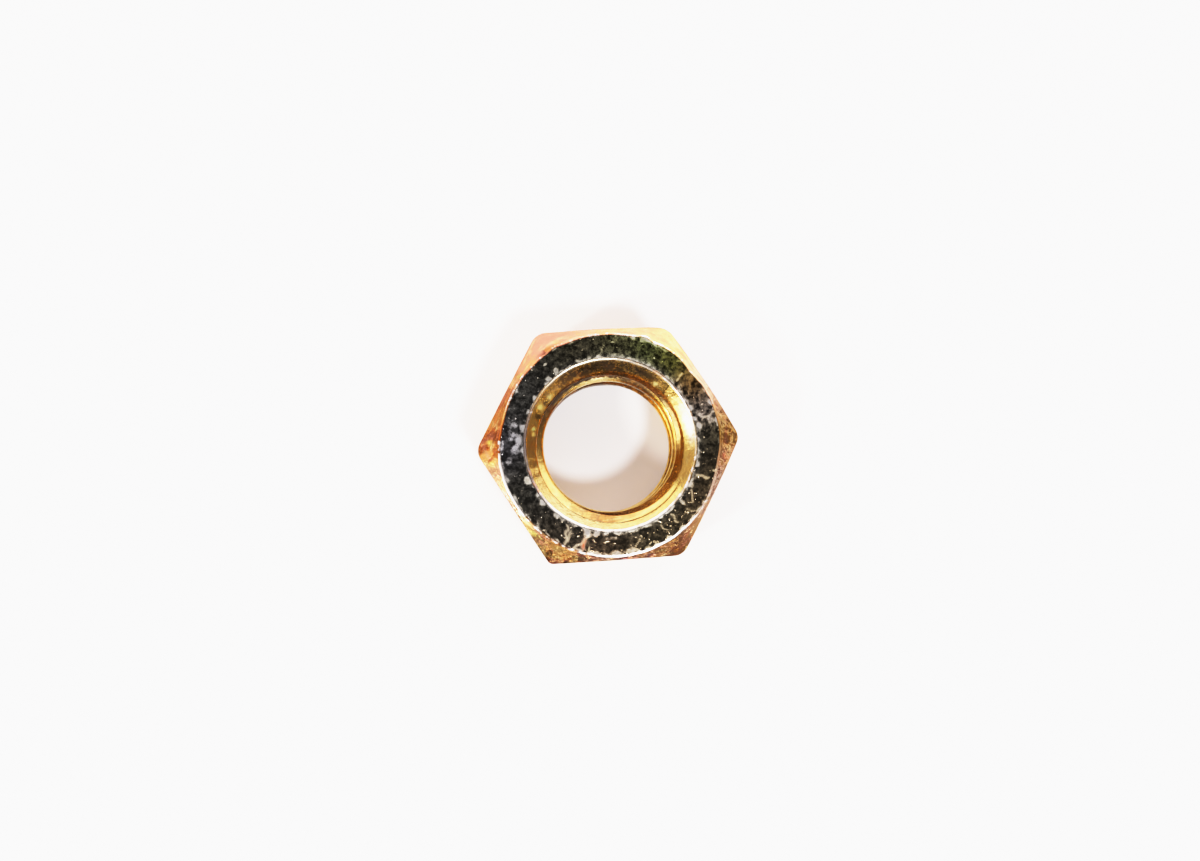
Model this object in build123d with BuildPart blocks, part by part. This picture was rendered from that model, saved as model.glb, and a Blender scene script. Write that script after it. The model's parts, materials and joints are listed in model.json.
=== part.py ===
# Jam nut, 1/2 inch with 13 threads to the inch, in millimetres.
# +Z is the thread's axis and z = 0 the lower bearing face, with its centre as the origin.
# Two corners of the hexagon lie on the X axis.
import os
from math import radians, tan

from build123d import *
from build123d.topology import SkipClean

# Hexagon
across_flats = 18.9
thickness = 25.4 * 5 / 16
corner_round = 1.4

# Bearing faces: the circle where each chamfer starts, and its slope from the face
bearing_circle = 18.0
face_chamfer_angle = 30

# Thread: 60 degree flanks, half the pitch wide on the pitch circle
threads_per_inch = 13
pitch = 25.4 / threads_per_inch
nominal_diameter = 12.7
pitch_diameter = 11.43
bore_diameter = 11.0
groove_floor_diameter = 12.8
flank_angle = 30

# Countersinks, 90 degrees across
countersink_diameter = 1.09 * nominal_diameter
countersink_angle = 45

# The groove's centre line crosses +X this far below the lower face, and the last turn
# ends clear of the upper countersink
thread_start = -0.23
thread_turns = 4

# The cutter's tip stands inside the bore by this much, so that it leaves no skin
cutter_overlap = 0.15

floor_radius = groove_floor_diameter / 2
bore_radius = bore_diameter / 2
flank_slope = tan(radians(flank_angle))
floor_half_width = pitch / 4 - (floor_radius - pitch_diameter / 2) * flank_slope
cutter_depth = floor_radius - bore_radius + cutter_overlap
mouth_half_width = floor_half_width + cutter_depth * flank_slope

# The revolved blank reaches past the hexagon's corners
blank_radius = across_flats * 0.6
chamfer_drop = (blank_radius - bearing_circle / 2) * tan(radians(face_chamfer_angle))
countersink_depth = (countersink_diameter / 2) / tan(radians(countersink_angle))

os.makedirs("parts", exist_ok=True)

# Every cut keeps the faces that it makes: the bore stays in four quarter faces
with SkipClean():
    with BuildPart() as jam_nut:
        # Hexagonal bar with slightly rounded corners
        with BuildSketch(Plane.XY):
            RegularPolygon(across_flats / 2, side_count=6, major_radius=False)
        extrude(amount=thickness)
        fillet(jam_nut.edges().filter_by(Axis.Z), radius=corner_round)

        # Both bearing faces are turned down to a circle with a shallow cone
        with BuildSketch(Plane.XZ):
            with BuildLine():
                Polyline(
                    (0, 0),
                    (bearing_circle / 2, 0),
                    (blank_radius, chamfer_drop),
                    (blank_radius, thickness - chamfer_drop),
                    (bearing_circle / 2, thickness),
                    (0, thickness),
                    close=True,
                )
            make_face()
        revolve(axis=Axis.Z, mode=Mode.INTERSECT)

        # The bore, cut by four quarter sectors
        for quarter in range(4):
            with BuildSketch(Plane.XY):
                with BuildLine():
                    rim = CenterArc((0, 0), bore_radius, 90 * quarter, 90)
                    Line(rim @ 1, (0, 0))
                    Line((0, 0), rim @ 0)
                make_face()
            extrude(amount=thickness, mode=Mode.SUBTRACT)

        # One countersink in each face
        for face_height, point_height in (
            (0, countersink_depth),
            (thickness, thickness - countersink_depth),
        ):
            with BuildSketch(Plane.XZ):
                with BuildLine():
                    Polyline(
                        (0, face_height),
                        (countersink_diameter / 2, face_height),
                        (0, point_height),
                        close=True,
                    )
                make_face()
            revolve(axis=Axis.Z, mode=Mode.SUBTRACT)

        # The thread groove, a right-handed helix cut one turn at a time
        for turn in range(thread_turns):
            with BuildLine() as turn_path:
                Helix(
                    pitch=pitch,
                    height=pitch,
                    radius=floor_radius,
                    center=(0, 0, thread_start + turn * pitch),
                )
            helix = turn_path.line
            with BuildSketch(Plane(origin=helix @ 0, x_dir=(1, 0, 0), z_dir=helix % 0)):
                with BuildLine():
                    Polyline(
                        (0, -floor_half_width),
                        (0, floor_half_width),
                        (-cutter_depth, mouth_half_width),
                        (-cutter_depth, -mouth_half_width),
                        close=True,
                    )
                make_face()
            sweep(path=helix, is_frenet=True, mode=Mode.SUBTRACT)

jam_nut.part.label = "jam_nut"
export_step(jam_nut.part, "parts/jam_nut.step")
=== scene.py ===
import json
from math import cos, pi, radians, sin, tan
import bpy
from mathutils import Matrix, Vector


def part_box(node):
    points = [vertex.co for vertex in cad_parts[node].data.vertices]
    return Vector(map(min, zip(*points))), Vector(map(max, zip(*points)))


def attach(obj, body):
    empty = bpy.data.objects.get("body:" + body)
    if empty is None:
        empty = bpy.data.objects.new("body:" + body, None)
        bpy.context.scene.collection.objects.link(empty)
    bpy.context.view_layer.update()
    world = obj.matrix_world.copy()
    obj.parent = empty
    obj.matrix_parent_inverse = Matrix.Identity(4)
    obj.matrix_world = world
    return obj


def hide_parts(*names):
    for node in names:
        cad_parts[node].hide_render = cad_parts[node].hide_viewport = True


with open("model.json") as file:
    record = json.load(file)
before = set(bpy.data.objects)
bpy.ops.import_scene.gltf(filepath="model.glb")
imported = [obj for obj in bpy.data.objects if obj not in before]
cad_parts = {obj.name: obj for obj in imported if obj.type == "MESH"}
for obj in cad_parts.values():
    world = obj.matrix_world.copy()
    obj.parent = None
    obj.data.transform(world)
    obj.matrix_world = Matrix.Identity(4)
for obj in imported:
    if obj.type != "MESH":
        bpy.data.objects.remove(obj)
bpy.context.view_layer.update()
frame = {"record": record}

from types import SimpleNamespace

import bpy
import numpy as np
from mathutils import Matrix, Vector

mm = 0.001
low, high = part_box("jam_nut")
thread = next(m for m in frame["record"]["mounts"] if m["name"] == "thread")
print("frame loaded")


class Value:
    # one number in a node tree, so that masks and ramps read as sums
    def __init__(self, tree, socket):
        self.tree, self.socket = tree, socket

    def maths(self, operation, *others):
        made = self.tree.nodes.new("ShaderNodeMath")
        made.operation = operation
        for slot, item in zip(made.inputs, (self, *others)):
            join(self.tree, slot, item)
        return Value(self.tree, made.outputs[0])

    def __add__(self, other):
        return self.maths("ADD", other)

    def __mul__(self, other):
        return self.maths("MULTIPLY", other)

    def __sub__(self, other):
        return self.maths("SUBTRACT", other)

    def __rsub__(self, other):
        made = self.tree.nodes.new("ShaderNodeMath")
        made.operation = "SUBTRACT"
        join(self.tree, made.inputs[0], other)
        join(self.tree, made.inputs[1], self)
        return Value(self.tree, made.outputs[0])

    __radd__ = __add__
    __rmul__ = __mul__

    def limit(self):
        # no more than 1 and no less than 0
        return self.maths("MINIMUM", 1.0).maths("MAXIMUM", 0.0)

    def swing(self, size):
        # from 0..1 to the same distance on both sides of 0, times a size
        return (self - 0.5) * size


def join(tree, slot, item):
    # a link where the item comes from a node, a fixed value where it doesn't
    if isinstance(item, Value):
        item = item.socket
    if isinstance(item, bpy.types.NodeSocket):
        tree.links.new(item, slot)
    else:
        slot.default_value = item


class Nodes:
    # a node tree that makes any node from its type, its settings and its inputs
    def __init__(self, tree):
        self.tree = tree
        tree.nodes.clear()

    def make(self, kind, settings=None, inputs=None, out=0):
        # a new node; gives one of its outputs
        made = self.tree.nodes.new(kind)
        for name, value in (settings or {}).items():
            setattr(made, name, value)
        for name, item in (inputs or {}).items():
            join(self.tree, made.inputs[name], item)
        return made.outputs[out] if made.outputs else made

    def value(self, *args, **kwargs):
        # the same, as a number that can be added and multiplied
        return Value(self.tree, self.make(*args, **kwargs))

    def noise(self, where, scale, detail, roughness):
        inputs = {"Vector": where, "Scale": scale, "Detail": detail, "Roughness": roughness}
        return self.value("ShaderNodeTexNoise", inputs=inputs)

    def step(self, item, start, end, before=0.0, after=1.0):
        # one number before the start, another after the end, smooth between
        settings = {"interpolation_type": "SMOOTHSTEP"}
        inputs = {"Value": item, "From Min": start, "From Max": end,
                  "To Min": before, "To Max": after}
        return self.value("ShaderNodeMapRange", settings, inputs)

    def mix(self, factor, first, second, blend="MIX"):
        # the first colour, with a share of the second laid over it (sockets 6 and 7)
        made = self.tree.nodes.new("ShaderNodeMix")
        made.data_type, made.blend_type = "RGBA", blend
        join(self.tree, made.inputs[0], factor)
        join(self.tree, made.inputs[6], first)
        join(self.tree, made.inputs[7], second)
        return made.outputs[2]

    def attribute(self, name):
        return self.value("ShaderNodeAttribute", {"attribute_name": name}, out=2)


def newMaterial(name):
    # an empty material and the node tree that draws it
    material = bpy.data.materials.new(name)
    material.use_nodes = True
    return material, Nodes(material.node_tree)


def stand(name, data):
    # a new object in the scene
    thing = bpy.data.objects.new(name, data)
    bpy.context.scene.collection.objects.link(thing)
    return thing


def rgb(red, green, blue):
    # a colour in scene light, fully opaque
    return (red, green, blue, 1.0)


nut = {
    "columns": 480,
    "hexagonShift": (-0.082, 0.055),  # the hexagon's centre from the thread's axis, mm
    "cornerRounds": (1.10, 1.45, 1.30, 1.25, 0.55, 1.25),  # mm, from the corner on +X round
    "bearingRadius": 9.05 * mm,
    "bearingShift": (-0.055, -0.015),
    # how the bearing edge leaves its circle: degrees, width in degrees, mm outwards
    "bearingNotches": [(38, 4.5, -0.16), (53, 7, 0.12), (69, 3, 0.24), (117.5, 2.2, 0.10),
                       (157, 15, -0.16), (343, 9, -0.17)],
    "chamferSlope": tan(radians(30)),
    "mouthRadius": 6.97 * mm,
    "mouthShift": (-0.035, -0.03),
    "mouthSlope": 0.87,
    "mouthRound": 0.30 * mm,
    "bearingRound": 0.32 * mm,
    "flatRound": 0.12 * mm,
    "lowerMouthRadius": 6.95 * mm,
    "lowerMouthSlope": 1.25,
    # height, seed, first and last wave round the nut, how fast they weaken
    "bearingWaves": (0.05 * mm, 4, 2, 60, 0.4),
    "mouthWaves": (0.035 * mm, 7, 2, 50, 0.5),
    "lowerBearingWaves": (0.04 * mm, 5, 2, 40, 0.5),
    "lowerMouthWaves": (0.03 * mm, 6, 2, 40, 0.5),
    "throat": 1.0 * mm,  # how far the countersinks' sides are drawn before their arcs are laid
    "spanRows": (30, 12, 8, 6, 8),  # upper face, chamfer, flats, lower chamfer, lower face
    "arcRows": 6,
    "deepRows": 56,
    "upperRows": 46,
    "upperDepth": 2.6 * mm,  # the finer rows at the top of the bore reach down this far
    "meanRadius": 8.5,  # mm, for the length of a wave round the nut
    "rippleWaves": 48,
}

threadForm = {
    "pitch": 25.4 / 13 * mm,
    "start": -0.10 * mm,
    "crestRadius": (thread["dims"]["r_mm"] - 0.09) * mm,
    "floorRadius": 6.42 * mm,
    "floorHalfWidth": 0.093 * mm,
    "flankSlope": tan(radians(30)),
    "crestBlend": 0.27 * mm,
    "rootBlend": 0.05 * mm,
    "mouthBlend": 0.03 * mm,
    "leadRadius": 6.02 * mm,
    "leadShift": (0.0, -0.05),
    "leadSlope": tan(radians(34)),
    "leadReach": 1.0 * mm,
    "shoulder": {"degrees": 18.0, "width": 17.0, "radius": 5.86 * mm, "slope": 1.15},
}


def turned(shift):
    # an offset in mm as a complex number in metres
    return complex(*shift) * mm


def along(shift, angle):
    # how far an offset reaches in each direction
    return shift.real * np.cos(angle) + shift.imag * np.sin(angle)


def waves(angle, height, seed, first, last, falloff):
    # a sum of whole waves around the ring with seeded phases, as high as told at its
    # highest; wave k has size k ** -falloff
    draw = np.random.default_rng(seed)
    count = np.arange(first, last + 1)
    phase = draw.uniform(0, 2 * pi, count.size)
    size = count ** -float(falloff) * draw.normal(1.0, 0.3, count.size)
    total = (size[:, None] * np.cos(count[:, None] * angle + phase[:, None])).sum(axis=0)
    return height * (total / np.abs(total).max())


def ripple(angle, travel, seed, shortest, longest):
    # bumps of many sizes in mm over the whole surface: seeded waves that close round the
    # nut, each as high as it is long, added up and scaled to 1 at most
    draw = np.random.default_rng(seed)
    total = np.zeros(travel.shape)
    for length in np.geomspace(shortest, longest, nut["rippleWaves"]):
        heading, phase = draw.uniform(0, pi), draw.uniform(0, 2 * pi)
        around = round(2 * pi * nut["meanRadius"] / length * cos(heading))
        across = 2 * pi / (length * mm) * sin(heading)
        total += length * np.cos(around * angle + across * travel + phase)
    return total / np.abs(total).max()


def away(angle, turn):
    # the angle from one direction in degrees, between -180 and 180
    return (np.degrees(angle) - turn + 180) % 360 - 180


def lobe(angle, turn, width):
    # 1 at an angle in degrees and fading away on both sides of it as a bell curve
    return np.exp(-0.5 * (away(angle, turn) / width) ** 2)


def plateau(angle, turn, width):
    # a lobe half as high again, cut off flat at 1
    return np.clip(1.5 * lobe(angle, turn, width), 0, 1)


def hexagonRadius(angle, acrossFlats):
    # distance from the axis to a hexagon that stands a little off it: the nearest flat's
    # plane, or near a corner the circle that rounds that corner
    half = acrossFlats / 2
    shift = turned(nut["hexagonShift"])
    flats = np.arange(6) * pi / 3 + pi / 6
    facing = np.cos(angle[:, None] - flats)
    reach = half + along(shift, flats)
    faced, far = 0.1, 1.0  # flats that face away from a column count as far off
    radius = np.where(facing > faced, reach / np.maximum(facing, faced), far).min(axis=1)
    for place, rounding in enumerate(nut["cornerRounds"]):
        turn = place * pi / 3
        size = rounding * mm
        centre = shift + (half - size) / cos(pi / 6) * np.exp(1j * turn)
        start = np.angle(centre + size * np.exp(1j * (turn - pi / 6)))
        end = np.angle(centre + size * np.exp(1j * (turn + pi / 6)))
        inside = (angle - start) % (2 * pi) < (end - start) % (2 * pi)
        forward = along(centre, angle)
        across = abs(centre) ** 2 - forward ** 2
        circle = forward + np.sqrt(np.maximum(size ** 2 - across, 0))
        radius = np.where(inside, circle, radius)
    return radius


def softMax(first, second, blend):
    # the larger of two numbers, rounded where they are within a few blends of each other
    return (first + second + np.sqrt((first - second) ** 2 + blend ** 2)) / 2


def softMin(first, second, blend):
    # the smaller of two numbers, rounded in the same way
    return -softMax(-first, -second, blend)


def boreRadius(height, angle, thickness, mouth, lowerMouth):
    # the hole's radius: a 60 degree groove on a helix between crest and floor, opened out
    # by a countersink at each end and by a steeper lead below the upper one
    form = threadForm
    turn = (height - form["start"]) / form["pitch"] - angle / (2 * pi)
    fromGroove = np.abs((turn + 0.5) % 1.0 - 0.5) * form["pitch"]
    flank = form["floorRadius"] - (fromGroove - form["floorHalfWidth"]) / form["flankSlope"]
    radius = softMax(flank, form["crestRadius"], form["crestBlend"])
    radius = softMin(radius, form["floorRadius"], form["rootBlend"])
    depth = thickness - height
    cone = mouth - depth / nut["mouthSlope"]
    leadTop = form["leadRadius"] + along(turned(form["leadShift"]), angle)
    leadDepth = (nut["mouthRadius"] - leadTop) * nut["mouthSlope"]
    lead = leadTop - (depth - leadDepth) * form["leadSlope"]
    shoulder = form["shoulder"]
    shoulderDepth = leadDepth + (leadTop - shoulder["radius"]) / form["leadSlope"]
    rolled = shoulder["radius"] - (depth - shoulderDepth) * shoulder["slope"]
    share = plateau(angle, shoulder["degrees"], shoulder["width"])
    lead = lead + (np.minimum(lead, rolled) - lead) * share
    lead = np.minimum(lead, cone + form["leadReach"])
    upper = softMax(cone, lead, form["mouthBlend"])
    lower = lowerMouth - height / nut["lowerMouthSlope"]
    radius = softMax(radius, upper, form["mouthBlend"])
    return softMax(radius, lower, form["mouthBlend"])


def roundCorner(before, corner, after, radius, rows):
    # an arc tangent to both sides of each column's corner, its centre on the bisector
    toBefore = before - corner
    toBefore /= np.linalg.norm(toBefore, axis=-1, keepdims=True)
    toAfter = after - corner
    toAfter /= np.linalg.norm(toAfter, axis=-1, keepdims=True)
    half = np.arccos((toBefore * toAfter).sum(axis=-1, keepdims=True)) / 2
    bisector = toBefore + toAfter
    bisector /= np.linalg.norm(bisector, axis=-1, keepdims=True)
    centre = corner + bisector * radius / np.sin(half)
    start = corner + toBefore * radius / np.tan(half) - centre
    end = corner + toAfter * radius / np.tan(half) - centre
    sweep = pi - 2 * half
    share = np.linspace(0, 1, rows)[:, None, None]
    blend = np.sin((1 - share) * sweep) * start + np.sin(share * sweep) * end
    return centre + blend / np.sin(sweep)


def between(start, end, rows):
    # evenly spaced rows strictly between two rows
    share = np.linspace(0, 1, rows + 2)[1:-1, None, None]
    return start + (end - start) * share


def nutSurface():
    # the section (radius, height) of every column, closed from the upper rim outwards,
    # down the flats, inwards under the nut and up through the bore; each row has a zone:
    # arcs 0.5 to 5.5, and between them 1 upper face, 2 chamfer, 3 flats, 4 lower chamfer,
    # 5 lower face, then 7 the bore
    angle = np.arange(nut["columns"]) * 2 * pi / nut["columns"]
    thickness = high.z - low.z
    hexagon = hexagonRadius(angle, high.y - low.y)
    bearing = nut["bearingRadius"] + along(turned(nut["bearingShift"]), angle)
    bearing = bearing + waves(angle, *nut["bearingWaves"])
    for turn, width, size in nut["bearingNotches"]:
        bearing = bearing + size * mm * lobe(angle, turn, width)
    mouth = nut["mouthRadius"] + along(turned(nut["mouthShift"]), angle)
    mouth = mouth + waves(angle, *nut["mouthWaves"])
    lowerBearing = nut["bearingRadius"] + waves(angle, *nut["lowerBearingWaves"])
    lowerMouth = nut["lowerMouthRadius"] + waves(angle, *nut["lowerMouthWaves"])
    drop = (hexagon - bearing) * nut["chamferSlope"]
    lowerDrop = (hexagon - lowerBearing) * nut["chamferSlope"]
    flat = np.zeros_like(angle)

    def point(radius, height):
        return np.stack([radius + flat, height + flat], axis=-1)

    upperMouth = point(mouth, thickness)
    upperBearing = point(bearing, thickness)
    upperEdge = point(hexagon, thickness - drop)
    lowerEdge = point(hexagon, lowerDrop)
    underBearing = point(lowerBearing, 0)
    underMouth = point(lowerMouth, 0)
    throat = nut["throat"]
    upperThroat = point(mouth - throat, thickness - throat * nut["mouthSlope"])
    lowerThroat = point(lowerMouth - throat, throat * nut["lowerMouthSlope"])

    arc = nut["arcRows"]
    arcs = [
        roundCorner(upperThroat, upperMouth, upperBearing, nut["mouthRound"], arc),
        roundCorner(upperMouth, upperBearing, upperEdge, nut["bearingRound"], arc),
        roundCorner(upperBearing, upperEdge, lowerEdge, nut["flatRound"], arc),
        roundCorner(upperEdge, lowerEdge, underBearing, nut["flatRound"], arc),
        roundCorner(lowerEdge, underBearing, underMouth, nut["bearingRound"], arc),
        roundCorner(underBearing, underMouth, lowerThroat, nut["mouthRound"], arc),
    ]
    spans = nut["spanRows"]
    rows, zones = [], []
    for place, bend in enumerate(arcs):
        rows.append(bend)
        zones.append(np.full(arc, place + 0.5))
        if place < len(spans):
            rows.append(between(bend[-1], arcs[place + 1][0], spans[place]))
            zones.append(np.full(spans[place], place + 1.0))

    lowest, highest = arcs[-1][-1][:, 1], arcs[0][0][:, 1]
    change = thickness - nut["upperDepth"]
    share = np.linspace(0, 1, nut["deepRows"] + 1)[1:, None]
    deep = lowest + (change - lowest) * share
    share = np.linspace(0, 1, nut["upperRows"] + 2)[1:-1, None]
    upper = change + (highest - change) * share
    height = np.concatenate([deep, upper])
    radius = boreRadius(height, angle, thickness, mouth, lowerMouth)
    rows.append(np.stack([radius, height], axis=-1))
    zones.append(np.full(len(height), 7.0))
    return angle, np.concatenate(rows), np.concatenate(zones)


def ringMesh(name, angle, section):
    # every column's section turned to its angle, joined into a closed ring of quads
    radius, height = section[..., 0], section[..., 1]
    points = np.stack([radius * np.cos(angle), radius * np.sin(angle), height], axis=-1)
    rowCount, columnCount = radius.shape
    row, column = np.meshgrid(np.arange(rowCount), np.arange(columnCount), indexing="ij")
    nextRow, nextColumn = (row + 1) % rowCount, (column + 1) % columnCount
    corners = np.stack([
        row * columnCount + column,
        nextRow * columnCount + column,
        nextRow * columnCount + nextColumn,
        row * columnCount + nextColumn,
    ], axis=-1).reshape(-1, 4)
    mesh = bpy.data.meshes.new(name)
    mesh.vertices.add(points.size // 3)
    mesh.vertices.foreach_set("co", points.ravel())
    mesh.loops.add(corners.size)
    mesh.loops.foreach_set("vertex_index", corners.ravel())
    mesh.polygons.add(len(corners))
    mesh.polygons.foreach_set("loop_start", np.arange(len(corners)) * 4)
    mesh.update(calc_edges=True)
    mesh.shade_smooth()
    return mesh


def paint(mesh, name, values):
    # a number, a vector or a colour for each vertex, read by the material
    kind, field = {2: ("FLOAT", "value"), 3: ("FLOAT_VECTOR", "vector")}[values.ndim]
    if values.ndim == 3 and values.shape[-1] == 4:
        kind, field = "FLOAT_COLOR", "color"
    layer = mesh.attributes.new(name, kind, "POINT")
    layer.data.foreach_set(field, values.astype(np.float32).ravel())


# the plating's colour round the nut on the chamfer, with painted light in it: each side is
# made lighter or darker for how the light falls on it; degrees from the corner on +X, colour
chamferTintsAndLight = [
    (-10, (0.72, 0.39, 0.21)), (2, (0.44, 0.24, 0.065)), (25, (0.80, 0.49, 0.32)),
    (57, (0.80, 0.52, 0.18)), (85, (0.75, 0.39, 0.21)), (118, (0.61, 0.23, 0.15)),
    (140, (0.55, 0.20, 0.10)), (166, (0.47, 0.13, 0.035)), (181, (0.25, 0.065, 0.010)),
    (195, (0.32, 0.17, 0.12)), (220, (0.37, 0.22, 0.11)), (238, (0.090, 0.042, 0.013)),
    (247, (0.12, 0.060, 0.025)), (258, (0.34, 0.19, 0.13)), (276, (0.27, 0.16, 0.19)),
    (300, (0.30, 0.145, 0.055)), (322, (0.75, 0.49, 0.35)), (338, (0.92, 0.62, 0.46)),
]

# the plating's own colour on the bearing face, and on the edge between it and the countersink
faceTints = [
    (0, (0.50, 0.44, 0.30)), (18, (0.62, 0.52, 0.44)), (34, (0.74, 0.46, 0.18)),
    (50, (0.46, 0.46, 0.13)), (66, (0.43, 0.49, 0.19)), (82, (0.52, 0.52, 0.27)),
    (105, (0.58, 0.54, 0.36)), (150, (0.60, 0.60, 0.56)), (178, (0.66, 0.66, 0.72)),
    (205, (0.62, 0.60, 0.52)), (240, (0.66, 0.56, 0.42)), (260, (0.80, 0.60, 0.40)),
    (290, (0.70, 0.58, 0.36)), (330, (0.72, 0.56, 0.34)),
]
rimTints = [
    (0, (0.50, 0.40, 0.26)), (30, (0.50, 0.42, 0.34)), (65, (0.36, 0.31, 0.25)),
    (100, (0.54, 0.46, 0.33)), (125, (0.52, 0.44, 0.33)), (140, (0.46, 0.30, 0.18)),
    (180, (0.33, 0.28, 0.27)), (202, (0.25, 0.23, 0.22)), (225, (0.45, 0.40, 0.38)),
    (300, (0.46, 0.40, 0.33)), (345, (0.42, 0.28, 0.13)),
]

# the steeper lead below the countersink, with painted shade: darker and browner round the
# nut where the lead lies in shade
leadShadeTints = [
    (20, (0.60, 0.40, 0.18)), (65, (0.55, 0.40, 0.25)), (150, (0.40, 0.26, 0.15)),
    (166, (0.56, 0.38, 0.22)), (215, (0.72, 0.44, 0.19)), (240, (0.44, 0.21, 0.07)),
    (262, (0.40, 0.18, 0.06)), (300, (0.98, 0.56, 0.18)), (345, (0.95, 0.56, 0.16)),
]

# pale bloom on the bearing face: degrees, distance from the axis in mm, half the length
# round the nut and half the width across it in mm, strength, and its tone from blue-grey 0
# to cream 1
bloom = [
    (7.6, 7.3, 0.60, 0.30, 0.65, 0.25), (10.3, 8.4, 0.45, 0.42, 0.45, 0.0),
    (13.7, 7.8, 0.40, 0.30, 0.42, 0.3), (123.7, 7.45, 0.28, 0.26, 1.0, 0.5),
    (130.3, 7.3, 0.26, 0.30, 0.8, 0.3), (146, 7.2, 0.34, 0.25, 0.7, 0.4),
    (126.3, 8.4, 0.20, 0.14, 0.6, 0.9), (59.6, 7.9, 0.12, 0.09, 0.9, 1.0),
    (85.8, 8.3, 0.12, 0.10, 0.9, 1.0), (155, 7.2, 0.30, 0.24, 0.6, 0.2),
    (166, 8.3, 0.46, 0.60, 0.42, 0.0), (167, 7.3, 0.36, 0.28, 0.7, 0.1),
    (175, 7.4, 0.65, 0.55, 0.6, 0.0), (180, 7.8, 0.46, 0.44, 0.55, 0.0),
    (172, 8.1, 0.50, 0.55, 0.40, 0.0), (186, 8.4, 0.35, 0.35, 0.5, 0.2),
    (200.2, 7.4, 0.32, 0.34, 1.0, 1.0), (211, 7.2, 0.26, 0.22, 0.7, 0.5),
    (217, 7.3, 0.30, 0.28, 0.7, 0.3), (229, 7.3, 0.28, 0.28, 0.7, 0.4),
    (251, 7.4, 0.40, 0.42, 0.8, 0.3), (257, 7.3, 0.35, 0.36, 0.7, 0.2),
    (268, 8.8, 0.40, 0.27, 0.85, 0.8), (276, 8.8, 0.50, 0.22, 0.8, 0.9),
    (317, 7.4, 0.22, 0.32, 0.7, 0.4), (329, 7.3, 0.26, 0.26, 0.7, 0.7),
    (267, 7.62, 0.55, 0.20, 0.55, 0.5), (327, 8.75, 0.40, 0.16, 0.5, 0.6),
    (27, 8.80, 0.40, 0.14, 0.5, 0.8), (177, 8.75, 0.45, 0.14, 0.5, 0.6),
    (147, 8.80, 0.60, 0.12, 0.4, 0.6),
]

# scratches across the bearing face: degrees, degrees gained for each mm outwards, how far
# it wanders in degrees, where it starts and ends in mm, half its width in mm, strength
scratches = [
    (253.0, -4.6, 0.6, 7.6, 9.25, 0.06, 1.0), (237.8, 2.9, 0.8, 7.4, 9.0, 0.09, 0.7),
    (336.6, 0.6, 0.3, 7.3, 8.5, 0.06, 1.0), (326.8, -7.4, 0.5, 7.4, 8.2, 0.06, 0.9),
    (40.6, 0.6, 0.2, 7.4, 8.3, 0.05, 0.9), (307.0, -0.6, 0.5, 7.4, 8.4, 0.05, 0.9),
    (93.0, -3.0, 0.3, 7.4, 8.2, 0.03, 0.5), (11.5, 2.0, 0.5, 7.6, 9.0, 0.06, 0.6),
    (342.0, 2.0, 0.5, 8.5, 9.2, 0.05, 0.8), (297.0, 3.0, 0.5, 7.6, 8.4, 0.04, 0.7),
    (283.0, -5.0, 0.5, 7.9, 8.9, 0.05, 0.7), (315.0, 4.0, 0.5, 8.0, 8.9, 0.04, 0.7),
]
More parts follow.
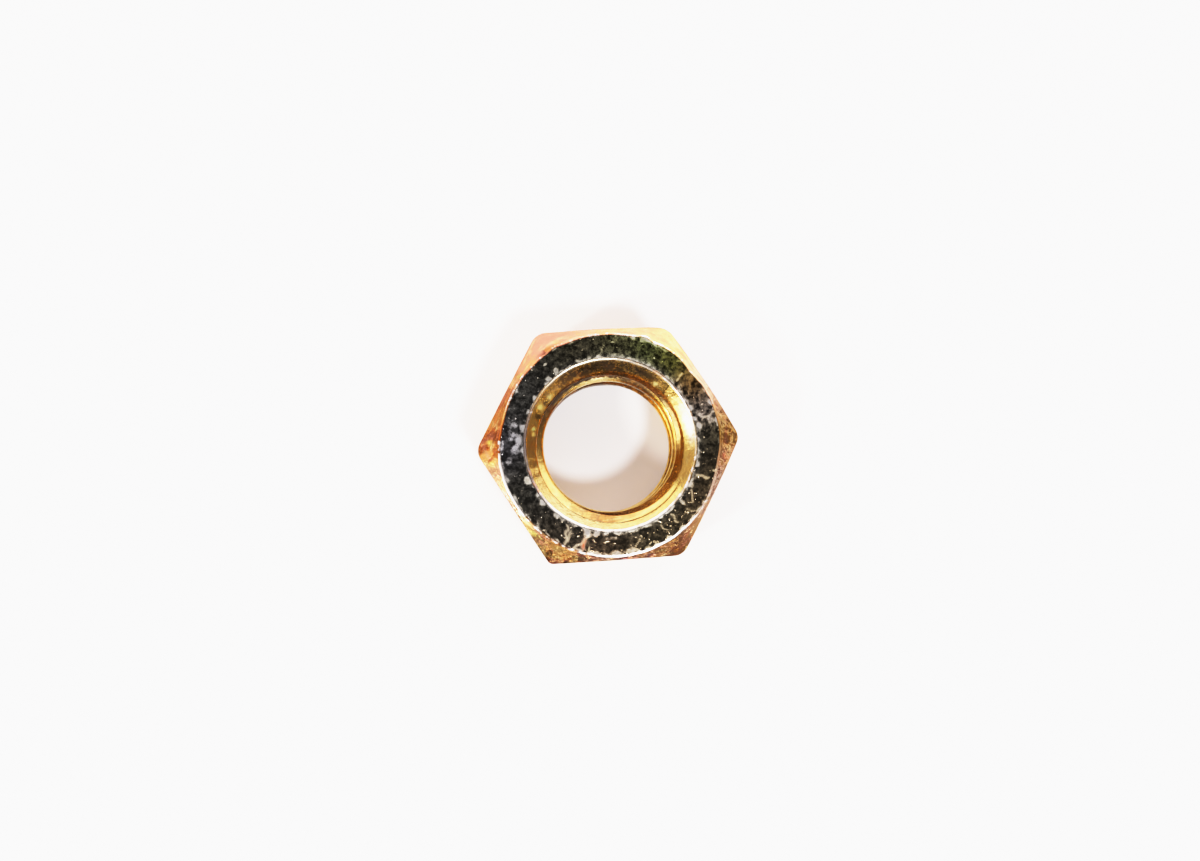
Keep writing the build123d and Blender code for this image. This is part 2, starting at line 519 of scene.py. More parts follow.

# stains and thick spots of the plating on the chamfer, the upper face and the countersink,
# with painted highlights, glints and shade among them: degrees, distance from the axis in mm,
# half the length and half the width in mm, colour, strength, and how dull they are
spots = [
    (350.9, 9.49, 0.28, 0.30, (0.62, 0.11, 0.06), 1.0, 0.3),
    (121.5, 9.23, 0.90, 0.17, (0.04, 0.009, 0.004), 1.0, 0.0),
    (250.9, 8.40, 0.15, 0.50, (0.50, 0.075, 0.02), 1.0, 0.9),
    (254.0, 8.75, 0.07, 0.30, (0.36, 0.30, 0.17), 1.0, 0.9),
    (241.5, 8.20, 0.12, 0.45, (0.24, 0.20, 0.13), 0.9, 0.9),
    # painted highlight: a pale strip on the countersink where it catches the light
    (11.5, 6.60, 1.50, 0.27, (0.95, 0.91, 0.76), 1.0, 0.0),
    (239.4, 9.75, 0.42, 0.20, (0.08, 0.045, 0.02), 1.0, 0.3),
    (226.0, 9.55, 0.60, 0.18, (0.50, 0.44, 0.08), 0.8, 0.2),
    (246.0, 9.30, 0.50, 0.16, (0.48, 0.15, 0.08), 0.8, 0.2),
    (181.0, 9.95, 0.40, 0.35, (0.62, 0.13, 0.02), 0.9, 0.3),
    (176.0, 9.85, 0.18, 0.22, (0.85, 0.58, 0.10), 0.8, 0.3),
    (186.5, 9.75, 0.20, 0.22, (0.85, 0.58, 0.12), 0.7, 0.3),
    (164.0, 9.50, 0.80, 0.16, (0.58, 0.09, 0.02), 0.8, 0.2),
    (140.0, 9.25, 0.30, 0.14, (0.70, 0.58, 0.14), 0.7, 0.2),
    (3.0, 9.75, 0.10, 0.40, (0.10, 0.055, 0.02), 0.9, 0.2),
    (357.5, 9.45, 0.12, 0.35, (0.12, 0.07, 0.03), 0.9, 0.2),
    (0.5, 10.1, 0.30, 0.10, (0.75, 0.50, 0.20), 0.7, 0.2),
    (295.5, 9.40, 0.35, 0.12, (0.16, 0.08, 0.14), 0.8, 0.2),
    # painted glint: a bright yellow spot on the countersink
    (50.0, 6.25, 0.20, 0.16, (0.95, 0.85, 0.28), 1.0, 1.0),
    (130.5, 6.40, 0.50, 0.13, (0.72, 0.38, 0.10), 0.7, 0.6),
    # painted glints: pale yellow and green spots where shallow dents on the countersink catch the
    # light
    (139.0, 6.35, 0.26, 0.17, (0.75, 0.58, 0.20), 0.9, 0.7),
    (149.2, 6.50, 0.26, 0.20, (0.60, 0.54, 0.16), 0.9, 0.7),
    (165.5, 6.40, 0.16, 0.16, (0.36, 0.50, 0.16), 0.9, 0.7),
    (169.5, 6.35, 0.18, 0.16, (0.75, 0.66, 0.14), 0.9, 0.7),
    (144.5, 6.20, 0.22, 0.30, (0.10, 0.06, 0.03), 0.8, 0.0),
    (156.0, 6.30, 0.30, 0.35, (0.12, 0.07, 0.03), 0.8, 0.0),
    # painted shade: dark patches on the back of the countersink, at 102 and 64 degrees
    (102.0, 6.45, 2.20, 0.32, (0.13, 0.085, 0.05), 0.85, 0.0),
    (64.0, 6.45, 1.50, 0.25, (0.16, 0.11, 0.06), 0.8, 0.0),
    (178.0, 6.40, 1.20, 0.40, (0.50, 0.30, 0.11), 0.6, 0.0),
    (40.0, 6.15, 0.30, 0.20, (0.35, 0.20, 0.06), 0.8, 0.0),
]

# how much of each mark there is round the nut: an even part, and what each lobe adds to it
# (degrees, width in degrees, amount)
amounts = {
    "innerFringe": (0.50, [(272, 30, 0.50), (45, 30, 0.20), (190, 30, 0.15),
                           (108, 22, 0.35), (4, 20, 0.35)]),
    "outerFringe": (0.40, [(285, 45, 0.55), (68, 12, 0.4), (10, 18, 0.35)]),
    "fringeReach": (0.21, [(48, 28, 0.05), (285, 45, 0.04)]),
    "fringeTone": (0.52, [(275, 32, 0.35), (190, 30, -0.20), (10, 18, -0.35)]),
    "roughFace": (0.3, [(290, 50, 0.7), (30, 30, 0.4)]),
    # wear, and painted highlight: pale bare steel on the rims, most where they catch the light
    "outerWearAndGlint": (0.0, [(288, 30, 0.85), (197, 13, 0.95), (232, 15, 0.25), (70, 40, 0.5),
                        (150, 14, 0.4)]),
    "innerWearAndGlint": (0.10, [(110, 13, 0.12), (230, 11, 0.60), (288, 30, 0.62), (20, 30, 0.35),
                         (158, 22, 0.15)]),
    "film": (0.24, [(46, 30, 0.70), (14, 10, 0.45), (280, 40, 0.10), (356, 12, -0.20)]),
    "specks": (0.15, [(292, 38, 0.54), (247, 12, 0.4), (20, 10, 0.3)]),
    "chamferGrit": (0.12, [(0, 20, 0.8), (184, 14, 0.45), (240, 26, 1.0), (300, 28, 0.45),
                           (212, 14, 0.35)]),
    "coneGrit": (0.10, [(260, 45, 0.22)]),
    # stain on the lowest turns, with painted shade on their back near 60 degrees
    "lowStainAndShade": (0.25, [(60, 26, 0.70), (340, 20, 0.4)]),
    # painted shade on the lead, all round but for one side; it sets both the lead's dark stain
    # and its shaded tint
    "leadShaded": (1.0, [(207, 20, -1.0)]),
    "leadDirtAndShade": (0.95, [(322, 45, -0.874)]),
    "leadTinted": (1.0, [(18, 18, -0.6)]),
    "russet": (0.0, [(52, 15, 0.7)]),
    "paleGold": (0.0, [(238, 32, 0.7)]),
    "amber": (0.0, [(16, 28, 1.0)]),
    "dullThread": (0.0, [(262, 30, 0.45)]),
}

# waves over the whole surface: seed, shortest and longest in mm, and the height of the
# waves in mm on the chamfer, on the face and in the bore
slowWaves = (11, 0.7, 5.0, 0.020, 0.008, 0.012)
shortWaves = (12, 0.35, 1.3, 0.010, 0.006, 0.006)

# the sizes of the marks: plain lengths in mm, those times mm in metres; ripples as seed,
# shortest and longest
marks = {
    "bend": 0.13,  # how far ripples bend the outlines of bloom and stains
    "bendAround": (21, 0.25, 1.0),
    "bendAcross": (22, 0.25, 1.0),
    "scratchWaves": 8,  # how fast a scratch wanders, in radians for each mm
    "scratchEnd": 0.1,
    "scratchDepth": 0.035,
    "teeth": 0.42,  # how far ripples push the fringes of bloom in and out
    "teethRipple": (23, 0.38, 1.4),
    "innerFringe": 7.02,  # distances from the axis
    "outerFringe": 9.0,
    "outerReach": 0.17,
    "speckedEdge": 8.90,
    "speckedWidth": 0.16,
    "speckedMore": 0.5,
    "warmEdge": 7.05,
    "warmReach": 0.35,
    "dentsAbove": 3 * mm,
    "spotsAbove": 4 * mm,
    "flowRadius": 2.0 * mm,  # of the small tube that the streaks' noise is laid on
}

# the bore from the top: the countersink's cone, the lead below it, the thread and a burr on
# its upper turn between two heights below the helix, with a painted highlight; and where
# painted shade darkens its back most, in degrees and width in degrees
bands = {
    "coneDepth": 0.88 * mm,
    "coneBlend": 0.05 * mm,
    "leadHeight": 6.3 * mm,
    "leadBlend": 0.1 * mm,
    "burrGlint": {"degrees": 98, "width": 15, "turn": 3, "top": -0.52 * mm, "bottom": -1.60 * mm},
    "darkCone": (97, 32),
    "darkThread": (107, 38),
}

tints = {
    "gold": (0.88, 0.56, 0.16),
    "nearHole": (0.60, 0.58, 0.52),
    "sides": (0.66, 0.42, 0.15),
    # painted shade for the back of the lead and the thread
    "threadShade": (0.14, 0.10, 0.068),
    # painted highlight: the burr's pale tint, where its rough crest catches the light
    "burrGlint": (0.95, 0.80, 0.38),
    "russet": (0.42, 0.20, 0.07),
    "paleGold": (0.76, 0.58, 0.28),
    "amber": (0.88, 0.48, 0.08),
}

# shallow dents on the countersink: degrees, distance from the axis, half its width and
# depth, all in mm
dents = [
    (53.5, 6.15, 0.20, 0.030), (141, 6.35, 0.26, 0.030), (151, 6.45, 0.24, 0.030),
    (171, 6.35, 0.24, 0.028), (160, 6.2, 0.20, -0.020), (128, 6.4, 0.30, 0.020),
    (20, 6.3, 0.15, 0.012), (352, 6.4, 0.22, 0.018), (338, 6.2, 0.25, -0.015),
]


def roundTints(angle, stops):
    # colours at some angles, blended smoothly into each other all the way round
    places = np.array([stop[0] for stop in stops], float)
    colours = np.array([stop[1] for stop in stops])
    places = np.concatenate([places - 360, places, places + 360])
    colours = np.concatenate([colours, colours, colours])
    turn = np.degrees(angle)
    after = np.searchsorted(places, turn, side="right")
    share = (turn - places[after - 1]) / (places[after] - places[after - 1])
    share = (share * share * (3 - 2 * share))[:, None]
    return colours[after - 1] * (1 - share) + colours[after] * share


def amount(name, angle):
    # a mark's even part and its lobes at some angles, added up
    total, lobes = amounts[name]
    for turn, width, size in lobes:
        total = total + size * lobe(angle, turn, width)
    return total


def nutRegions(angle, section, zone):
    # 1 in each region and 0 outside it, for every vertex, with its direction, its distance
    # from the axis in mm and its way along the section in metres
    columns = np.ones_like(angle)

    def rows(*zones):
        return np.isin(zone, zones).astype(float)[:, None] * columns

    travel = np.linalg.norm(np.diff(section, axis=0), axis=-1).mean(axis=1)
    return SimpleNamespace(
        angle=angle,
        out=section[..., 0] / mm,
        travel=np.concatenate([[0], np.cumsum(travel)])[:, None] * columns,
        face=rows(1.0, 5.0),
        upperFace=rows(0.5, 1.0, 1.5),
        innerRim=rows(0.5, 5.5),
        outerRim=rows(1.5, 4.5),
        chamfer=rows(2.0, 2.5, 3.0, 3.5, 4.0),
        sides=rows(3.0, 3.5, 4.0),
        bore=rows(7.0),
    )


def scratchesOn(on):
    # how deep each point lies in a scratch: a bell curve across a line that drifts and
    # wanders as it goes outwards, fading out at both ends
    out, end = on.out, marks["scratchEnd"]
    scar = np.zeros_like(out)
    for turn, drift, wander, first, last, width, strength in scratches:
        swing = np.sin((out - first) * marks["scratchWaves"] + turn)
        middle = turn + drift * (out - first) + wander * swing
        aside = np.radians(away(on.angle, middle)) * out / width
        within = np.clip((out - first) / end, 0, 1) * np.clip((last - out) / end, 0, 1)
        scar = np.maximum(scar, strength * within * np.exp(-aside ** 2))
    return scar * on.upperFace


def blotchesOn(on):
    # a function that is 1 at a place and fades away from it: the exponential of minus the
    # cube of the distance in half lengths and half widths, its outline bent by ripples
    bendAround = marks["bend"] * ripple(on.angle, on.travel, *marks["bendAround"])
    bendAcross = marks["bend"] * ripple(on.angle, on.travel, *marks["bendAcross"])

    def blotch(turn, middle, length, width):
        around = (np.radians(away(on.angle, turn)) * middle + bendAround) / length
        across = (on.out - middle + bendAcross) / width
        return np.exp(-(around ** 2 + across ** 2) ** 1.5)

    return blotch


def bloomOn(on, blotch):
    # how thick the bloom lies and its tone: the strongest of the listed patches and of two
    # fringes with ragged teeth, which fade away from the inner and the outer edge
    haze = np.zeros_like(on.out)
    tone = np.zeros_like(on.out)
    for turn, middle, length, width, strength, cream in bloom:
        patch = strength * blotch(turn, middle, length, width)
        tone = np.where(patch > haze, cream, tone)
        haze = np.maximum(haze, patch)
    teeth = marks["teeth"] * ripple(on.angle, on.travel, *marks["teethRipple"])
    fromInner = np.maximum(on.out + teeth - marks["innerFringe"], 0)
    fromOuter = np.maximum(marks["outerFringe"] + teeth - on.out, 0)
    inner = np.exp(-fromInner / amount("fringeReach", on.angle)) * amount("innerFringe", on.angle)
    outer = np.exp(-fromOuter / marks["outerReach"]) * amount("outerFringe", on.angle)
    fringe = np.maximum(inner, outer)
    tone = np.where(fringe > haze, amount("fringeTone", on.angle), tone)
    return np.maximum(haze, fringe) * on.face, tone


def relieved(on, section, scar):
    # the section pushed outwards by two sets of waves, and inwards by dents and scratches
    slope = np.gradient(section, axis=0)
    slope /= np.linalg.norm(slope, axis=-1, keepdims=True)
    outward = np.stack([-slope[..., 1], slope[..., 0]], axis=-1)
    depth = np.zeros_like(on.out)
    for form, rough in ((slowWaves, 1.0), (shortWaves, amount("roughFace", on.angle))):
        seed, shortest, longest, onChamfer, onFace, inBore = form
        height = onChamfer * on.chamfer + onFace * rough * on.face + inBore * on.bore
        depth += ripple(on.angle, on.travel, seed, shortest, longest) * height
    above = section[..., 1] > marks["dentsAbove"]
    for turn, middle, width, deep in dents:
        around = np.radians(away(on.angle, turn)) * middle / width
        across = (on.out - middle) / width
        depth -= deep * np.exp(-(around ** 2 + across ** 2)) * on.bore * above
    depth -= marks["scratchDepth"] * scar
    return section + outward * depth[..., None] * mm


def boreBands(on, height):
    # 1 in each band of the bore and 0 outside it, with a short blend where two meet
    depth = height - high.z + bands["coneDepth"]
    cone = np.clip(depth / bands["coneBlend"], 0, 1) * on.bore
    aboveThread = np.clip((height - bands["leadHeight"]) / bands["leadBlend"], 0, 1)
    lead = aboveThread * (on.bore - cone)
    form = bands["burrGlint"]
    helix = threadForm["start"] + threadForm["pitch"] * (form["turn"] + on.angle / (2 * pi))
    within = (height - helix < form["top"]) * (height - helix > form["bottom"])
    burrGlint = lobe(on.angle, form["degrees"], form["width"]) * within * on.bore
    return SimpleNamespace(cone=cone, lead=lead, lowest=on.bore - cone - lead, burrGlint=burrGlint)


def stainAndShadeOn(on, band):
    # how much stain and painted shade lies on each band of the bore: a little stain everywhere
    # on the cone and painted shade fully at its back, painted shade on the lead but for two
    # sides, stain and painted shade on the thread by its lobes, and nothing on the glinting burr
    angle = on.angle
    stain = band.cone * (0.22 + 0.78 * plateau(angle, *bands["darkCone"]))
    stain += band.lead * amount("leadShaded", angle) * amount("leadDirtAndShade", angle)
    stain += band.lowest * amount("lowStainAndShade", angle)
    return stain * (1 - band.burrGlint)


def tintOn(on, band):
    # the plating's colour: gold, then each layer laid over it by its mask
    angle = on.angle
    fromHole = np.maximum(on.out - marks["warmEdge"], 0)
    nearHole = on.face * np.exp(-fromHole / marks["warmReach"])
    # painted shade on the lead, all round but for one side
    shadowed = band.lead * amount("leadShaded", angle) * amount("leadTinted", angle)
    # painted shade: the back of the lead and the thread made dark, but not the burr
    threadShade = (band.lead + band.lowest) * (1 - band.burrGlint) * plateau(angle, *bands["darkThread"])
    layers = [
        # the chamfer's plating colour with painted light: each side lighter or darker for how the
        # light falls
        (on.chamfer + on.outerRim, roundTints(angle, chamferTintsAndLight)),
        (on.face, roundTints(angle, faceTints)),
        (nearHole, tints["nearHole"]),
        (0.8 * on.sides, tints["sides"]),
        (on.innerRim, roundTints(angle, rimTints)),
        # the lead's colour with painted shade
        (shadowed, roundTints(angle, leadShadeTints)),
        (threadShade, tints["threadShade"]),
        # painted highlight on the rough burr
        (band.burrGlint, tints["burrGlint"]),
        (band.lowest * amount("russet", angle), tints["russet"]),
        (band.cone * amount("paleGold", angle), tints["paleGold"]),
        (band.lowest * amount("amber", angle), tints["amber"]),
    ]
    tint = np.ones(on.out.shape + (3,)) * tints["gold"]
    for mask, colour in layers:
        tint += mask[..., None] * (np.array(colour) - tint)
    return tint


def spotsOn(on, band, height, blotch, tint):
    # the listed stains, painted highlights, glints and shade laid over the tint, and how dull
    # they, the glinting burr and one side of the thread are
    ground = (on.chamfer + band.cone + on.upperFace) * (height > marks["spotsAbove"])
    dull = np.zeros_like(on.out)
    for turn, middle, length, width, colour, strength, flat in spots:
        patch = strength * blotch(turn, middle, length, width) * ground
        tint = tint + patch[..., None] * (np.array(colour) - tint)
        dull = np.maximum(dull, patch * flat)
    dull = np.maximum(dull, 0.55 * band.burrGlint)
    return tint, np.maximum(dull, band.lowest * amount("dullThread", on.angle))


def makeNut(finish):
    # the section with its relief, turned into one ring, and what the finish reads from it
    angle, section, zone = nutSurface()
    on = nutRegions(angle, section, zone)
    scar = scratchesOn(on)
    blotch = blotchesOn(on)
    haze, tone = bloomOn(on, blotch)
    section = relieved(on, section, scar)
    mesh = ringMesh("plated_nut", angle, section)

    height = section[..., 1]
    band = boreBands(on, height)
    # wear and painted highlight on the rims
    worn = on.outerRim * amount("outerWearAndGlint", angle) + on.innerRim * amount("innerWearAndGlint", angle)
    edge = np.exp(-((on.out - marks["speckedEdge"]) / marks["speckedWidth"]) ** 2)
    speck = amount("specks", angle) + edge * marks["speckedMore"]
    grit = np.clip(amount("chamferGrit", angle), 0, 1) * (on.chamfer - 0.8 * on.sides)
    grit += band.burrGlint + band.cone * amount("coneGrit", angle)
    tint, dull = spotsOn(on, band, height, blotch, tintOn(on, band))
    circle = marks["flowRadius"] * np.cos(angle), marks["flowRadius"] * np.sin(angle)
    flow = np.stack(np.broadcast_arrays(*circle, on.travel), axis=-1)
    painted = {
        "face": on.face,
        "rim": on.innerRim + on.outerRim,
        "chamfer": on.chamfer - 0.5 * on.sides,
        "bore": on.bore,
        "scar": scar,
        "haze": haze,
        "tone": tone,
        "worn": np.clip(worn, 0, 1),
        "film": np.clip(amount("film", angle), 0, 1) * on.face,
        "speck": np.clip(speck, 0, 1.2) * on.face,
        "grit": np.clip(grit, 0, 1),
        "stain": np.clip(stainAndShadeOn(on, band), 0, 1),
        "tint": np.insert(tint, 3, 1.0, axis=-1),
        "dull": dull,
        "flow": flow,
    }
    for name, values in painted.items():
        paint(mesh, name, values)

    mesh.materials.append(finish)
    piece = stand("plated_nut", mesh)
    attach(piece, "root")
    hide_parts("jam_nut")
    print("nut made:", len(mesh.polygons) * 2, "triangles")


# the finish's noises: how many to a metre, octaves, and how strong each finer octave is
noises = {
    "ragged": (2300.0, 4.0, 0.65),
    "fine": (5600.0, 3.0, 0.6),
    "blot": (1250.0, 3.0, 0.62),
    "cloud": (520.0, 3.0, 0.6),
    "streak": (3000.0, 3.0, 0.6),
    "pits": (4000.0, 2.0, 0.6),
    "swell": (1100.0, 2.0, 0.5),
}

zinc = {
    "red": rgb(0.86, 0.31, 0.08),
    "pale": rgb(0.90, 0.68, 0.30),
    "rosy": rgb(0.52, 0.20, 0.14),
    # dark dirt, and painted shade where it lies on the back of the bore
    "shade": rgb(0.20, 0.10, 0.05),
    "light": rgb(0.56, 0.38, 0.14),
    "dirtAndShade": rgb(0.085, 0.064, 0.042),
    "fleck": rgb(0.70, 0.58, 0.37),
    # pale bare steel, laid as wear and as painted highlight on the rims
    "bareAndGlint": rgb(0.84, 0.80, 0.76),
    "scratch": rgb(0.28, 0.23, 0.14),
    "film": rgb(0.42, 0.42, 0.40),  # times the region's own tint
    "bloom": (rgb(0.030, 0.030, 0.042), rgb(0.12, 0.11, 0.085)),  # from blue-grey to cream
    "paleBloom": (rgb(0.105, 0.108, 0.135), rgb(0.46, 0.42, 0.35)),
    "bumps": 0.03 * mm,
}


def surfaceBreaks(nodes, on, grain):
    # where the plating is broken, from 0 to 1: flecks on the face in clusters, dark and
    # light patches, red clouds, dirt and painted shade with crumbs in it, and bare steel on the
    # worn edges, partly painted highlight
    ragged, fine, blot, cloud = grain.ragged, grain.fine, grain.blot, grain.cloud
    clusters = nodes.step(blot, 0.40, 0.62) * 0.8 + 0.2
    flecks = grain.pits + fine.swing(0.4) - (0.765 - on.speck * clusters * 0.21)
    dark = nodes.step(cloud + fine.swing(0.35) + blot.swing(0.5), 0.38, 0.48)
    light = nodes.step(cloud + fine.swing(0.5) - blot.swing(0.6), 0.52, 0.62)
    # dirt, and painted shade on the back of the bore, broken by crumbs
    dirtAndShade = nodes.step(blot + cloud.swing(0.9) + on.stain.swing(0.3), 0.40, 0.62)
    # wear and painted highlight: pale bare steel on the rims where they catch the light
    bareAndGlint = nodes.step(on.worn + ragged.swing(1.3) + blot.swing(0.8), 0.35, 0.62)
    return SimpleNamespace(
        flecks=nodes.step(flecks, 0.0, 0.10),
        dark=(1 - dark) * on.grit,
        light=light * on.grit,
        red=nodes.step(cloud + ragged.swing(0.6), 0.48, 0.60),
        dirtAndShade=dirtAndShade * on.stain,
        crumbs=nodes.step(ragged + fine.swing(0.8), 0.50, 0.66),
        bareAndGlint=on.rim * bareAndGlint,
    )


def platingColour(nodes, on, grain, broken, tint):
    # each region's tint, painted light and shade included, with layers over it: red in clouds,
    # pale and rosy in streaks, then patches, dirt and painted shade, flecks, and bare steel as
    # wear and painted highlight
    plating = 1 - on.face
    pale = nodes.step(grain.streak, 0.50, 0.72) * plating * 0.40
    rosy = (1 - nodes.step(grain.streak, 0.38, 0.52)) * on.chamfer * 0.5
    layers = [
        (broken.red * plating * (0.38 - on.bore * 0.22), "red"),
        (pale, "pale"),
        (rosy, "rosy"),
        (broken.dark * 0.70, "shade"),
        (broken.light * 0.42, "light"),
        # dirt and painted shade
        (broken.dirtAndShade * (0.92 - broken.crumbs * 0.5), "dirtAndShade"),
        (broken.flecks * on.face * 0.6, "fleck"),
        # bare steel as wear and painted highlight
        (broken.bareAndGlint, "bareAndGlint"),
    ]
    colour = tint
    for mask, name in layers:
        colour = nodes.mix(mask, colour, zinc[name])
    return colour


def platedSteel():
    # the plating's colour under bloom, scratches and a thin film, its metal share,
    # roughness and small relief as sums of the same masks
    material, nodes = newMaterial("yellow_zinc")
    where = nodes.make("ShaderNodeTexCoord", out=3)
    flow = nodes.make("ShaderNodeAttribute", {"attribute_name": "flow"}, out=1)
    tint = nodes.make("ShaderNodeAttribute", {"attribute_name": "tint"}, out=0)
    masks = ("face", "rim", "chamfer", "bore", "scar", "haze", "tone", "worn", "film", "speck",
             "grit", "stain", "dull")
    on = SimpleNamespace(**{name: nodes.attribute(name) for name in masks})
    grain = SimpleNamespace()
    for name, form in noises.items():
        setattr(grain, name, nodes.noise(flow if name == "streak" else where, *form))
    ragged, fine, blot = grain.ragged, grain.fine, grain.blot
    broken = surfaceBreaks(nodes, on, grain)
    plated = platingColour(nodes, on, grain, broken, tint)

    mottle = nodes.step(ragged + blot.swing(0.4), 0.36, 0.66)
    mottled = nodes.mix(mottle, nodes.mix(on.tone, *zinc["bloom"]),
                        nodes.mix(on.tone, *zinc["paleBloom"]))
    cover = nodes.step(on.haze + ragged.swing(1.3), 0.20, 0.95) * 0.92
    cut = (on.scar * (0.5 + ragged)).limit()
    scratched = nodes.mix(cut, nodes.mix(cover, plated, mottled), zinc["scratch"])
    veil = nodes.step(ragged + fine.swing(0.7) + blot.swing(0.5), 0.34, 0.80)
    veil = veil * on.film * (1 - cover)
    veilTint = nodes.mix(1.0, tint, zinc["film"], "MULTIPLY")
    colour = nodes.mix(veil * 0.8 * (1 - cut), scratched, veilTint)

    metal = 1 - cover * 0.75 - veil * 0.20 - broken.bareAndGlint * 0.15 - on.dull * 0.8 - cut * 0.8
    roughness = (0.17 - on.face * 0.07 + on.chamfer * 0.08 + cover * 0.35 + on.rim * 0.10
                 + veil * 0.15 + broken.dirtAndShade * 0.15 + broken.light * on.bore * 0.25)
    relief = (broken.flecks * 0.8 + grain.swell * 0.3 + (broken.light - broken.dark) * 0.5
              + cover * fine * 0.5 + fine * (on.bore * 0.2 + 0.15) + on.rim * ragged * 0.6
              + grain.streak * (on.chamfer * 0.3 + on.bore * 0.45) + ragged * on.speck * 0.5)
    bump = nodes.make("ShaderNodeBump", inputs={
        "Strength": 1.0, "Distance": zinc["bumps"], "Height": relief})
    shader = nodes.make("ShaderNodeBsdfPrincipled", inputs={
        "Base Color": colour, "Metallic": metal, "Roughness": roughness, "Normal": bump})
    nodes.make("ShaderNodeOutputMaterial", inputs={"Surface": shader})
    print("finish made")
    return material


floorForm = {
    "half": 1.5,
    "drop": 0.01 * mm,
    "colour": rgb(0.90, 0.885, 0.89),
    "roughness": 0.9,
}


def paperWhite():
    # a matt near-white, in one shader
    material, nodes = newMaterial("pale_floor")
    shader = nodes.make("ShaderNodeBsdfPrincipled", inputs={
        "Base Color": floorForm["colour"], "Roughness": floorForm["roughness"]})
    nodes.make("ShaderNodeOutputMaterial", inputs={"Surface": shader})
    return material


def makeFloor():
    # one large square just under the nut
    half = floorForm["half"]
    mesh = bpy.data.meshes.new("floor")
    mesh.from_pydata([(-half, -half, 0), (half, -half, 0), (half, half, 0), (-half, half, 0)],
                     [], [(0, 1, 2, 3)])
    mesh.materials.append(paperWhite())
    floor = stand("floor", mesh)
    floor.location.z = low.z - floorForm["drop"]


backdropForm = {
    "radius": 1.4,
    "height": 2.8,
    "sides": 96,
    "colour": rgb(1.0, 0.99, 0.985),
    "brightness": 2.0,
}


def makeBackdrop():
    # a plain pale round wall behind everything, that only the camera sees
    radius, height, sides = (backdropForm[name] for name in ("radius", "height", "sides"))
    turn = np.arange(sides) * 2 * pi / sides
    ring = np.stack([radius * np.cos(turn), radius * np.sin(turn)], axis=-1)
    points = np.concatenate([np.insert(ring, 2, level, axis=1) for level in (0.0, height)])
    first = np.arange(sides)
    after = (first + 1) % sides
    corners = np.stack([after, first, first + sides, after + sides], axis=-1)
    mesh = bpy.data.meshes.new("backdrop")
    mesh.from_pydata(points.tolist(), [], corners.tolist())
    material, nodes = newMaterial("pale_wall")
    glow = nodes.make("ShaderNodeEmission", inputs={
        "Color": backdropForm["colour"], "Strength": backdropForm["brightness"]})
    nodes.make("ShaderNodeOutputMaterial", inputs={"Surface": glow})
    mesh.materials.append(material)
    wall = stand("backdrop", mesh)
    for ray in ("diffuse", "glossy", "transmission", "shadow", "volume_scatter"):
        setattr(wall, "visible_" + ray, False)


def skyDirection(zenithAngle, azimuth):
    # unit vector that many degrees from straight up, towards the azimuth from +X
    tilt, turn = radians(zenithAngle), radians(azimuth)
    return Vector((sin(tilt) * cos(turn), sin(tilt) * sin(turn), cos(tilt)))


# the room, as round areas of light on a dim sky, in degrees: their angle from straight up
# and round from +X, how far the full light reaches and where it ends; then the brightness,
# or for the corner and the overhead area the share that they take away
sky = {
    "colour": rgb(1.0, 0.905, 0.875),
    "dim": 0.05,
    "ceiling": {"level": 4.6, "startZenith": 60.0, "endZenith": 46.0},
    "corner": (50.0, 350.0, 18.0, 45.0, 0.75),
    "overhead": (0.0, 0.0, 32.0, 50.0, 0.88),
    "window": (72.0, 80.0, 48.0, 64.0, 2.7),
    "skylight": (54.0, 62.0, 6.0, 17.0, 7.0),
    "door": (73.0, 194.0, 6.0, 23.0, 4.2),
    "screen": (70.0, 322.0, 10.0, 24.0, 0.6),
    "shelf": (76.0, 0.0, 14.0, 34.0, 0.22),
    "wall": (64.0, 170.0, 14.0, 40.0, 0.6),
    "shade": (7.0, 45.0, 16.0, 24.0, 0.015),
}


def makeSky():
    # brightness by direction: a ceiling glow and round areas of light, added up and dimmed
    # by one dark round area over the nut
    world = bpy.data.worlds.new("studio")
    bpy.context.scene.world = world
    world.use_nodes = True
    nodes = Nodes(world.node_tree)
    where = nodes.make("ShaderNodeTexCoord", out=0)

    def closeness(zenith, azimuth):
        inputs = {0: where, 1: skyDirection(zenith, azimuth)}
        settings = {"operation": "DOT_PRODUCT"}
        return nodes.value("ShaderNodeVectorMath", settings, inputs, out=1)

    def area(name):
        # a mask, 1 inside the round area and 0 outside it, and what goes with it
        zenith, azimuth, inner, outer, strength = sky[name]
        near = closeness(zenith, azimuth)
        return nodes.step(near, cos(radians(outer)), cos(radians(inner))), strength

    ceiling = sky["ceiling"]
    level = nodes.step(closeness(0.0, 0.0), cos(radians(ceiling["startZenith"])),
                       cos(radians(ceiling["endZenith"])), 0.0, ceiling["level"])
    for name in ("corner", "overhead"):
        mask, taken = area(name)
        level = level * (1 - mask * taken)
    level = level + sky["dim"]
    for name in ("window", "skylight", "door", "screen", "shelf", "wall"):
        mask, brightness = area(name)
        level = level.maths("MAXIMUM", mask * brightness)
    mask, brightness = area("shade")
    level = level * (1 - mask) + mask * brightness
    background = nodes.make("ShaderNodeBackground", inputs={
        "Color": sky["colour"], "Strength": level})
    nodes.make("ShaderNodeOutputWorld", inputs={"Surface": background})
    print("floor, backdrop and sky made")


# two round lamps on a sphere round the nut: direction, distance and width in metres, watts
lamps = {
    "near": {"zenith": 29.0, "azimuth": -63.0, "distance": 0.5, "size": 0.085, "power": 2.3,
             "colour": (0.97, 0.975, 1.0)},
    "side": {"zenith": 52.0, "azimuth": 208.0, "distance": 0.5, "size": 0.05, "power": 1.5,
             "colour": (1.0, 0.95, 0.86)},
}


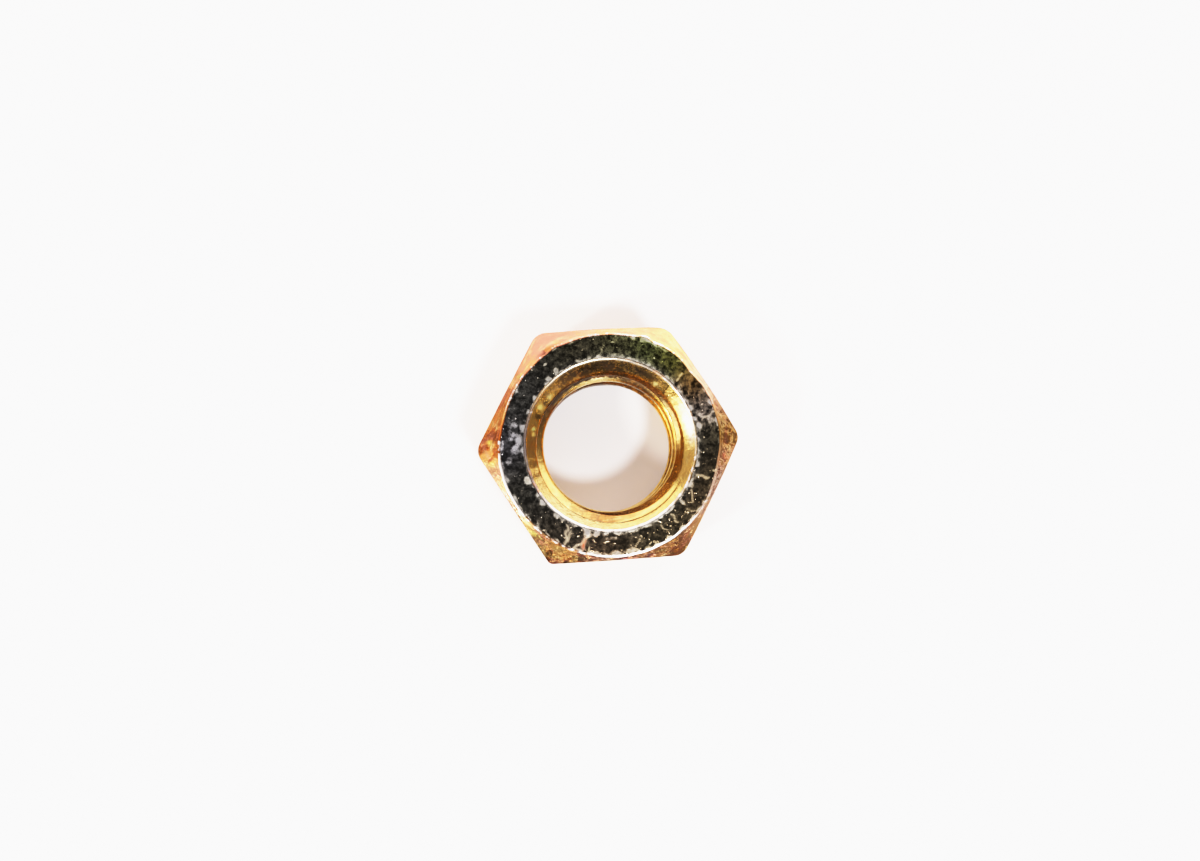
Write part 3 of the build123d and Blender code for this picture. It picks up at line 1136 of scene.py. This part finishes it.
def makeLamps():
    # each lamp stands in its direction at its distance and faces the nut
    for name, lamp in lamps.items():
        light = bpy.data.lights.new(name, "AREA")
        light.shape, light.size, light.energy = "DISK", lamp["size"], lamp["power"]
        light.color = lamp["colour"]
        holder = stand(name, light)
        direction = skyDirection(lamp["zenith"], lamp["azimuth"])
        holder.location = direction * lamp["distance"]
        holder.rotation_euler = direction.to_track_quat("Z", "Y").to_euler()


view = {
    "distance": 80 * mm,
    "sensor": 36.0,
    "lens": 29.645,
    "nearest": 0.005,
    "farthest": 20.0,
    "lean": (0.083, 0.090),
    "turn": 3.254,
    "across": 0.931 * mm,
    "above": -1.069 * mm,
}


def makeCamera():
    # the view line leans by two small slopes, then the camera turns about the nut's axis
    data = bpy.data.cameras.new("camera")
    camera = stand("camera", data)
    data.sensor_width, data.lens = view["sensor"], view["lens"]
    data.clip_start, data.clip_end = view["nearest"], view["farthest"]
    back = Vector((-view["lean"][0], -view["lean"][1], 1.0)).normalized()
    right = Vector((1, 0, 0))
    right = (right - back * right.dot(back)).normalized()
    up = back.cross(right)
    top = Vector((0, 0, high.z))
    place = top + back * view["distance"] - right * view["across"] - up * view["above"]
    pose = Matrix((right, up, back)).transposed().to_4x4()
    pose.translation = place
    camera.matrix_world = Matrix.Rotation(radians(-view["turn"]), 4, "Z") @ pose
    bpy.context.scene.camera = camera


# how bright light comes out: scene light in, picture light out, rounded off towards white
tones = [(0.0, 0.0), (0.06, 0.045), (0.25, 0.25), (0.55, 0.56), (0.9, 0.78), (1.3, 0.89),
         (1.8, 0.94), (2.4, 0.955)]


def setTones():
    # one curve for all three colours, level past its last point
    settings = bpy.context.scene.view_settings
    settings.view_transform = "Standard"
    settings.use_curve_mapping = True
    mapping = settings.curve_mapping
    brightest = tones[-1][0]
    mapping.white_level = (brightest,) * 3
    mapping.extend = "HORIZONTAL"
    points = mapping.curves[3].points
    points[0].location, points[-1].location = tones[0], (1.0, tones[-1][1])
    for light, shown in tones[1:-1]:
        points.new(light / brightest, shown)
    mapping.update()


makeNut(platedSteel())
makeFloor()
makeBackdrop()
makeSky()
makeLamps()
makeCamera()
setTones()
print("scene made")
